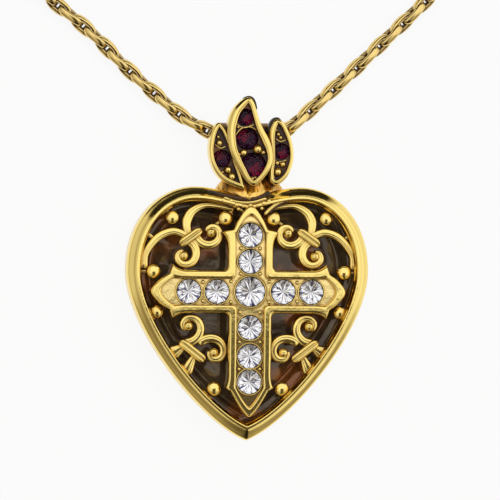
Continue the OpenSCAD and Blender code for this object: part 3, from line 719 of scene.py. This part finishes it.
crest = {
    # across a lip from its outer side in: share of its width, height over its top
    "lip": [(0, -2.2), (0, -0.42), (0.02, -0.34), (0.06, -0.28), (0.15, -0.205), (0.25, -0.125),
            (0.33, -0.06), (0.39, -0.02), (0.45, 0), (0.56, 0.01), (0.68, 0), (0.73, -0.06),
            (0.77, -0.06), (0.81, 0), (0.9, -0.01), (0.96, -0.08), (1, -0.25), (1, -1.2)],
    "floorDrop": 0.9, "backDrop": 1.9, "bottom": 3.5, "pocketGap": 0.03, "edgeRounding": 0.03,
    "beadScale": 1.2, "beadRise": 0.08, "wireHalfWidth": 0.12, "wireRise": 0.3, "shadeHalfWidth": 0.24,
    # the collar: its back, the foot of its face, and its ribs: how deep, how close, how they lean
    "collarBack": 1.6, "collarFoot": 2.1, "ribs": [(0.09, 19, 0.12), (0.05, 43, 0.3)],
    # the collar going up: y, left side, right side, how high its face stands
    "collar": [(8.35, -1.7, 1.9, 5.2), (8.7, -3.0, 3.4, 5.3), (9.2, -3.95, 4.5, 5.1),
               (10.0, -3.6, 4.2, 4.7), (11.0, -2.7, 3.3, 4.5), (12.3, -1.2, 1.6, 4.3)],
    # each stone: flame, place, diameter, height of its girdle
    "stones": [("middle", (-0.62, 18.4), 2.1, 5.1), ("middle", (-0.3, 15.72), 2.6, 5.1),
               ("middle", (0.42, 12.5), 3.2, 5.1), ("left", (-3.38, 13.3), 2.1, 4.6),
               ("right", (3.98, 14.3), 2.0, 4.6)],
    # small beads that hold the stones: flame, place, radius
    "beads": [("left", (-3.86, 15.95), 0.22), ("left", (-3.7, 15.2), 0.38),
              ("left", (-2.62, 11.95), 0.42), ("left", (-2.15, 11.1), 0.48), ("left", (-3.3, 11.65), 0.2),
              ("left", (-4.1, 16.5), 0.16), ("right", (3.55, 16.35), 0.26),
              ("right", (3.85, 15.95), 0.24), ("right", (3.3, 16.85), 0.2), ("right", (3.5, 11.75), 0.5),
              ("right", (4.15, 12.7), 0.36), ("right", (3.4, 12.85), 0.3), ("right", (3.05, 11.15), 0.22),
              ("middle", (-0.8, 14.05), 0.42), ("middle", (0.95, 14.5), 0.52),
              ("middle", (0.3, 10.85), 0.34), ("middle", (-0.08, 11.0), 0.24),
              ("middle", (0.68, 11.0), 0.24), ("middle", (-1.3, 13.85), 0.24),
              ("middle", (1.65, 14.1), 0.3), ("middle", (-1.5, 17.15), 0.2)],
    # dark bands of painted shade on the casting behind the flames' tips: points and top
    "shades": [([(-0.62, 20.64), (-0.2, 20.76), (0.22, 20.58), (0.46, 20.1), (0.6, 19.5)], 5.74),
               ([(2.44, 16.7), (2.52, 17.4), (2.92, 18.06), (3.4, 18.2), (3.76, 17.85)], 5.3),
               ([(-3.95, 17.4), (-3.62, 17.4), (-3.1, 16.9), (-2.75, 16.2)], 5.22)],
    # thin wires across the recess: flame and their points
    "wires": [("middle", [(-1.75, 17.6), (-1.2, 17.2), (-0.5, 17.1), (0.4, 17.45)]),
              ("middle", [(-1.75, 16.2), (-1.35, 16.75), (-0.8, 17.1), (0.1, 17.15), (0.75, 16.8)]),
              ("left", [(-4.15, 14.95), (-3.6, 14.55), (-3.0, 14.75)]),
              ("right", [(3.3, 15.75), (3.8, 15.45), (4.4, 15.65)]),
              ("right", [(3.2, 13.15), (3.8, 12.98), (4.5, 13.2)])],
}


def addFlame(casting, name, flame):
    line = smoothLine(flame["line"], loop=True)
    inner = insetLoop(line, 1)
    # the lip's section follows its width, but for its walls, which go down by more than 1
    casting.skin([[(*between(o, i, share), flame["top"] + (height * o[2] if height > -1 else height))
                   for share, height in crest["lip"]] for o, i in zip(line, inner)], closed=True)
    floor, rounding, scale = flame["top"] - crest["floorDrop"], crest["edgeRounding"], crest["beadScale"]
    pockets = [circle(at, d / 2 + crest["pocketGap"], 36)
               for owner, at, d, _ in crest["stones"] if owner == name]
    plate(casting, [insetLoop(line, 0.9)] + pockets, crest["bottom"], floor, rounding, slot=1)
    plate(casting, [insetLoop(line, 0.1)], crest["bottom"], flame["top"] - crest["backDrop"], rounding)
    for owner, at, radius in crest["beads"]:
        if owner == name:
            ball(casting, (*at, floor + crest["beadRise"]), radius * scale, squash=scale, around=20)
    for owner, points in crest["wires"]:
        if owner == name:
            band(casting, smoothLine(points), crest["wireHalfWidth"], floor + crest["wireRise"])


def addCollar(casting, steps=48):
    # a saddle that flows from the rim up behind the flames, its face ribbed by the casting
    rows, foot = [], crest["collarFoot"]
    for v, (y, left, right, top) in enumerate(smoothLine(crest["collar"], 4)):
        face = []
        for u in range(steps + 1):
            t = u / steps
            swell = math.sin(math.pi * (0.04 + 0.92 * t)) ** 0.5
            rib = sum(depth * math.sin(close * t + lean * v) for depth, close, lean in crest["ribs"])
            face.append((left + (right - left) * t, y, foot + (top - foot) * swell + rib))
        back = [(left + (right - left) * u / steps, y, crest["collarBack"]) for u in range(steps, -1, -1)]
        rows.append(face + back)
    casting.skin(rows, slot=2)


flameCasting = Casting()
for name, flame in flames.items():
    addFlame(flameCasting, name, flame)
addCollar(flameCasting)
# the shades: bands of painted shade behind the flames' tips
for points, top in crest["shades"]:
    band(flameCasting, smoothLine(points), crest["shadeHalfWidth"], top, slot=3)
flameCasting.piece("flameCrest", [cast, recess, collar, paintedShade], "cast_gold", ["flame_crest"],
                   swells=False)
print("crest made")

# Stones: round brilliants, whose backs are fans of broad and narrow facets. The girdle is in millimetres,
# angles in degrees and the rest in shares of the radius; litSectors is how much of a dark stone takes the
# light foil, painted glints
brilliant = {"table": 0.56, "star": 0.78, "crown": 0.26, "pavilion": 0.18, "girdle": 0.1,
             "broadAngle": 14.5, "middleRing": 0.5, "middleTurn": 8.0, "unevenness": 0.03, "litSectors": 0}
garnetCut = {**brilliant, "crown": 0.3, "pavilion": 0.3, "middleTurn": 0.0, "unevenness": 0.02,
             "litSectors": 3}


def addStone(name, at, diameter, z, cut, finishes, finishSlot, node, turn, swells):
    r, girdle = diameter / 2, cut["girdle"]
    lean = math.cos(math.radians(22.5))

    def ring(share, height, count, start=0.0):
        return [(at[0] + share * r * math.cos(math.radians(start + turn + 360 * k / count)),
                 at[1] + share * r * math.sin(math.radians(start + turn + 360 * k / count)), z + height)
                for k in range(count)]

    edge = [math.radians(start + turn + 22.5 * k) for k in range(16) for start in (0, cut["broadAngle"])]

    def rim(height):
        return [(at[0] + r * math.cos(a), at[1] + r * math.sin(a), z + height) for a in edge]

    crown, back = cut["crown"] * r, -cut["pavilion"] * r
    starZ = girdle + crown * (1 - cut["star"] * lean) / (1 - cut["table"])
    points = ring(cut["table"], girdle + crown, 8) + ring(cut["star"], starZ, 8, 22.5)
    share, uneven, shift = cut["middleRing"], cut["unevenness"], math.radians(cut["middleTurn"])
    points += rim(girdle) + rim(0) + [(at[0], at[1], z + back)]
    points += [(at[0] + share * r * math.cos(a + shift), at[1] + share * r * math.sin(a + shift),
                z + back * (1 - share) + uneven * r * math.sin(4.3 * k + turn)) for k, a in enumerate(edge)]
    # points 0 to 7 are the table, 8 to 15 the star, 16 to 47 the girdle's top, 48 to 79 its foot, 80 the
    # point at the back and 81 to 112 the ring between
    faces, slots = [list(range(8))], [0]
    for k in range(8):
        nextK, lastK, g, q = (k + 1) % 8, (k + 7) % 8, 16 + 4 * k, 16 + (4 * k + 4) % 32
        faces += [[k, 8 + k, nextK], [k, 8 + lastK, g, 8 + k], [8 + k, g, g + 1, g + 2],
                  [8 + k, g + 2, g + 3, q]]
        slots += [0] * 4
    for k in range(32):
        following = (k + 1) % 32
        faces += [[16 + k, 16 + following, 48 + following, 48 + k], [80, 81 + following, 81 + k],
                  [81 + k, 81 + following, 48 + following], [81 + k, 48 + following, 48 + k]]
        # the facet at the point and the two outside the ring, true where it takes the dark foil, painted
        # shade; turn gives each stone its own pattern
        shadedFoil = [k % 4 == 1 or (k + turn) % 11 == 3, k % 4 == 3 or (k + turn) % 7 == 2, (k + turn) % 9 == 4]
        if cut["litSectors"]:
            # a red stone takes the dark foil but for a few sectors of light foil together, painted glints
            sector = (k // 4 + turn) % 8
            shadedFoil = [sector > cut["litSectors"], sector != 1, sector not in (1, 2)]
        slots += [0] + [2 if facet else 1 for facet in shadedFoil]
    gem = Casting()
    gem.add(points, faces, slots)
    return gem.piece(name, finishes, finishSlot, [node], sharp=0, swells=swells)


# the number before the last turns each stone its own way
seatFloor = pendant["crossTop"] - pendant["fieldDrop"]
for i, (at, d) in enumerate(stonePlaces):
    addStone(f"clearStone{i + 1}", at, d, seatFloor, brilliant, clearFinishes, "clear_stone",
             f"clear_stone_{i + 1}", 7 + 29 * i, True)
for i, (_, at, d, z) in enumerate(crest["stones"]):
    addStone(f"redStone{i + 1}", at, d, z, garnetCut, garnetFinishes, "red_stone",
             f"red_stone_{i + 1}", 11 + 37 * i, False)
print("stones set")

# The rope chain: flat oval links, each turned a quarter from the last
chain = {
    "diameter": 1.85, "coilRadius": 12.4, "coilPitch": 1.95, "coilTurns": 2.75, "endRadius": 4.0,
    "coilAt": (14.0, 48.0), "linkPitch": 1.99, "linkHalfLength": 1.55, "linkHalfWidth": 0.61,
    "stripHalfWidth": 0.48, "stripHalfThick": 0.34, "grooveDepth": 0.34, "grooveHalfWidth": 0.09,
    "ovalPowers": (0.9, 0.95), "stripPower": 0.8, "twist": 8.0, "leans": (25.0, 115.0), "capLength": 0.6,
    "left": [(0, 16.1, 1.7), (-2.2, 16.1, 1.7), (-3.4, 16.2, 1.69), (-4.5, 16.64, 1.64),
             (-5.7, 17.3, 1.5), (-7.6, 18.35, 1.25), (-9.8, 20.1, 1), (-12.4, 22.3, 0.925),
             (-15.4, 25, 0.925), (-18.1, 27.7, 0.925), (-21, 30.2, 0.925), (-23.8, 32.4, 0.925),
             (-26, 35, 0.925), (-27, 38.5, 0.925), (-26.9, 43, 0.925), (-26.4, 48, 0.925)],
    "right": [(0, 16.1, 1.7), (2.2, 16.1, 1.7), (3.4, 16.21, 1.69), (4.5, 16.67, 1.64), (5.6, 17.42, 1.5),
              (7.4, 18.95, 1.25), (9.6, 20.95, 1), (12.4, 23.5, 0.925), (15.3, 26.3, 0.925),
              (18.2, 29.1, 0.925), (21, 31.8, 0.925), (23.6, 34.6, 0.925), (25.6, 37.8, 0.925),
              (26.4, 42.5, 0.925), (26.4, 48, 0.925)],
}


def chainPath(side, perTurn=40):
    # the free stretch, the coil and the turn inwards to the cap, as close points
    flip = -1 if side == "left" else 1
    path = [Vector(p) for p in smoothLine(chain[side], 5)]
    cx, cy, lying = flip * chain["coilAt"][0], chain["coilAt"][1], chain["diameter"] / 2
    steps = int(chain["coilTurns"] * perTurn)
    for i in range(1, steps + 1):
        turned = chain["coilTurns"] * i / steps
        r, a = chain["coilRadius"] - chain["coilPitch"] * turned, math.radians(180 - 360 * turned)
        path.append(Vector((cx - flip * r * math.cos(a), cy + r * math.sin(a), lying)))
    low = cy - (chain["coilRadius"] - chain["coilPitch"] * chain["coilTurns"])
    for i in range(1, 13):
        a, e = math.radians(90 * i / 12), chain["endRadius"]
        path.append(Vector((cx + flip * e * math.sin(a), low + e * (1 - math.cos(a)), lying)))
    return path


class Way:
    # gives places beside a path by how far along it they are
    def __init__(self, path):
        self.path, self.along, self.seg = path, [0.0], 0
        for a, b in zip(path, path[1:]):
            self.along.append(self.along[-1] + (b - a).length)
        self.length = self.along[-1]

    def beside(self, s, lateral, lift):
        path, along = self.path, self.along
        s = min(max(s, 0.0), self.length)
        while self.seg < len(path) - 2 and along[self.seg + 1] < s:
            self.seg += 1
        while self.seg > 0 and along[self.seg] > s:
            self.seg -= 1
        i = self.seg
        f = (s - along[i]) / (along[i + 1] - along[i])
        before = (path[i + 1] - path[max(i - 1, 0)]).normalized()
        after = (path[min(i + 2, len(path) - 1)] - path[i]).normalized()
        tangent = before.lerp(after, f).normalized()
        sideways = tangent.cross(Vector((0, 0, 1))).normalized()
        return path[i].lerp(path[i + 1], f) + sideways * lateral + sideways.cross(tangent) * lift


def signedPower(v, power):
    return math.copysign(abs(v) ** power, v)


def linkSection(around=26, across=20):
    # a link as rows of (along, in its plane, across its plane)
    oval, rows, (endPower, sidePower) = [], [], chain["ovalPowers"]
    for j in range(around):
        a = 2 * math.pi * j / around
        oval.append((chain["linkHalfLength"] * signedPower(math.cos(a), endPower),
                     chain["linkHalfWidth"] * signedPower(math.sin(a), sidePower)))
    for j, (u, v) in enumerate(oval):
        a, b = oval[j - 1], oval[(j + 1) % around]
        normal = Vector((b[1] - a[1], a[0] - b[0])).normalized()
        row = []
        for k in range(across):
            t = 2 * math.pi * k / across
            p = chain["stripHalfThick"] * signedPower(math.cos(t), chain["stripPower"])
            # a groove along both edges, so that a flat link reads as two wires side by side
            dip = chain["grooveDepth"] * math.exp(-(p / chain["grooveHalfWidth"]) ** 2)
            edge = chain["stripHalfWidth"] * (1 - dip)
            row.append((u + normal.x * p, v + normal.y * p,
                        edge * signedPower(math.sin(t), chain["stripPower"])))
        rows.append(row)
    return rows


def addChain(name, side, replaced):
    path = chainPath(side)
    way, section, links, flip = Way(path), linkSection(), Casting(), 1 if side == "left" else -1
    count, place = 0, chain["linkPitch"] / 2
    while place < way.length - chain["capLength"]:
        lean = flip * chain["leans"][count % 2]
        rows = []
        for row in section:
            out = []
            for u, v, w in row:
                turn = math.radians(lean + chain["twist"] * u)
                out.append(way.beside(place + u, v * math.cos(turn) - w * math.sin(turn),
                                      v * math.sin(turn) + w * math.cos(turn)))
            rows.append(out)
        links.skin(rows, closed=True)
        place += chain["linkPitch"]
        count += 1
    made = links.piece(name, [rope], "chain_gold", replaced, swells=False)
    print(name, round(way.length, 1), "mm long,", count, "links")
    return made, path, way.length


chainLeft, leftPath, leftLength = addChain("chainLeft", "left", ["chain_left", "chain_coil_left"])
chainRight, rightPath, rightLength = addChain("chainRight", "right", ["chain_right", "chain_coil_right"])

# Parts kept from the frame get their finishes
# the bail tube takes the dark gold, painted shade between the flames
for node, material in (("bail_tube", tube), ("chain_hook", rope), ("chain_ring", rope)):
    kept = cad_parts[node]
    for slotNumber in range(len(kept.material_slots)):
        kept.material_slots[slotNumber].material = material

# Stage: floor, light and camera
studio = {
    "viewWidth": 61.225, "distance": 500.0, "turn": 8.0, "roll": 0.5, "target": (0.43, 2.2, 3.0),
    "sensor": 36.0, "floor": (0.93, 0.93, 0.93, 1.0), "floorSize": 8.0, "floorGlow": 0.9,
    # the light all round and the least of it, then how much darker each shaded place is
    "light": 1.16, "least": 0.02, "leftSide": 0.42, "wedge": 1.06, "crown": 1.1, "skirting": 0.25,
    "lowerSkirting": 0.42, "shadeTint": (1.0, 0.86, 0.66, 1.0),
}
white = (1.0, 1.0, 1.0, 1.0)


def makeFloor():
    bpy.ops.mesh.primitive_plane_add(size=studio["floorSize"])
    floor = bpy.context.object
    floor.name = "floor"
    material = bpy.data.materials.new("paleFloor")
    board = Board(material)
    path = board.node("LightPath", out="Is Camera Ray")
    seen = (path + board.also(path, "Is Glossy Ray") + board.also(path, "Is Transmission Ray")).clamped()
    lit = board.node("BsdfDiffuse", sockets={"Color": studio["floor"]})
    glow = board.node("Emission", sockets={"Color": white, "Strength": 1.0})
    surface = board.node("MixShader", sockets={0: seen * studio["floorGlow"], 1: lit, 2: glow})
    board.node("OutputMaterial", sockets={"Surface": surface})
    floor.data.materials.append(material)


def makeWorld():
    # a plain tent of light, with the shaded places of a small studio
    world = bpy.data.worlds.new("softStudio")
    bpy.context.scene.world = world
    board = Board(world)
    way = board.node("TexCoord", out="Generated")
    x = board.node("SeparateXYZ", sockets={"Vector": way})
    y = board.also(x, "Y")
    z = board.also(x, "Z")
    # a wedge just below the lens darkens the flat tops of the cross's lower arm and of the tip
    wedge = (-y).step(0.01, 0.045) * (1 - (x - 0.08).size().step(0.12, 0.34))
    # the side towards the tip, for the rim's lower flanks
    lower = (-y).step(0.22, 0.5) * 0.5 + (-y).step(0.7, 0.88) * (1 - x.size().step(0.3, 0.6)) * 0.2
    # the side beyond the crest, for the dark bands on the lobes' upper edges
    crown = y.step(0.56, 0.7) * (1 - (x + 0.05).size().step(0.56, 0.76)) * (1 - z.step(0.4, 0.6))
    # a low band all round, broader and darker on the side towards the tip
    skirting = z.step(0.1, 0.2) * (1 - z.step(0.28, 0.42)) * (studio["skirting"] - lower * 0.3)
    skirting = skirting + z.step(0.02, 0.08) * (1 - z.step(0.5, 0.64)) * lower * studio["lowerSkirting"]
    level = studio["light"] - (-x).step(0.25, 0.8) * (1 - lower * 1.5) * studio["leftSide"]
    level = level - wedge * studio["wedge"] - lower * (1 - wedge) - crown * studio["crown"] - skirting
    level = level.atLeast(studio["least"])
    tint = board.mix(level.step(0.1, 0.9), studio["shadeTint"], white)
    camera = board.node("LightPath", out="Is Camera Ray")
    light = board.node("Background", sockets={"Color": tint, "Strength": level})
    backdrop = board.node("Background", sockets={"Color": white, "Strength": 1.0})
    surface = board.node("MixShader", sockets={0: camera, 1: light, 2: backdrop})
    board.node("OutputWorld", sockets={"Surface": surface})


def makeCamera():
    data = bpy.data.cameras.new("camera")
    camera = bpy.data.objects.new("camera", data)
    bpy.context.scene.collection.objects.link(camera)
    data.sensor_width = studio["sensor"]
    data.lens = studio["sensor"] * studio["distance"] / studio["viewWidth"]
    data.clip_start, data.clip_end = 0.05, 20
    turn = math.radians(studio["turn"])
    away = Vector((-math.sin(turn), 0, math.cos(turn)))
    camera.location = (Vector(studio["target"]) + away * studio["distance"]) * mm
    camera.rotation_euler = (0, -turn, 0)
    camera.rotation_euler.rotate_axis("Z", math.radians(studio["roll"]))
    bpy.context.scene.camera = camera


makeFloor()
makeWorld()
makeCamera()
bpy.context.scene.view_settings.view_transform = "Standard"
print("stage, light and camera set")
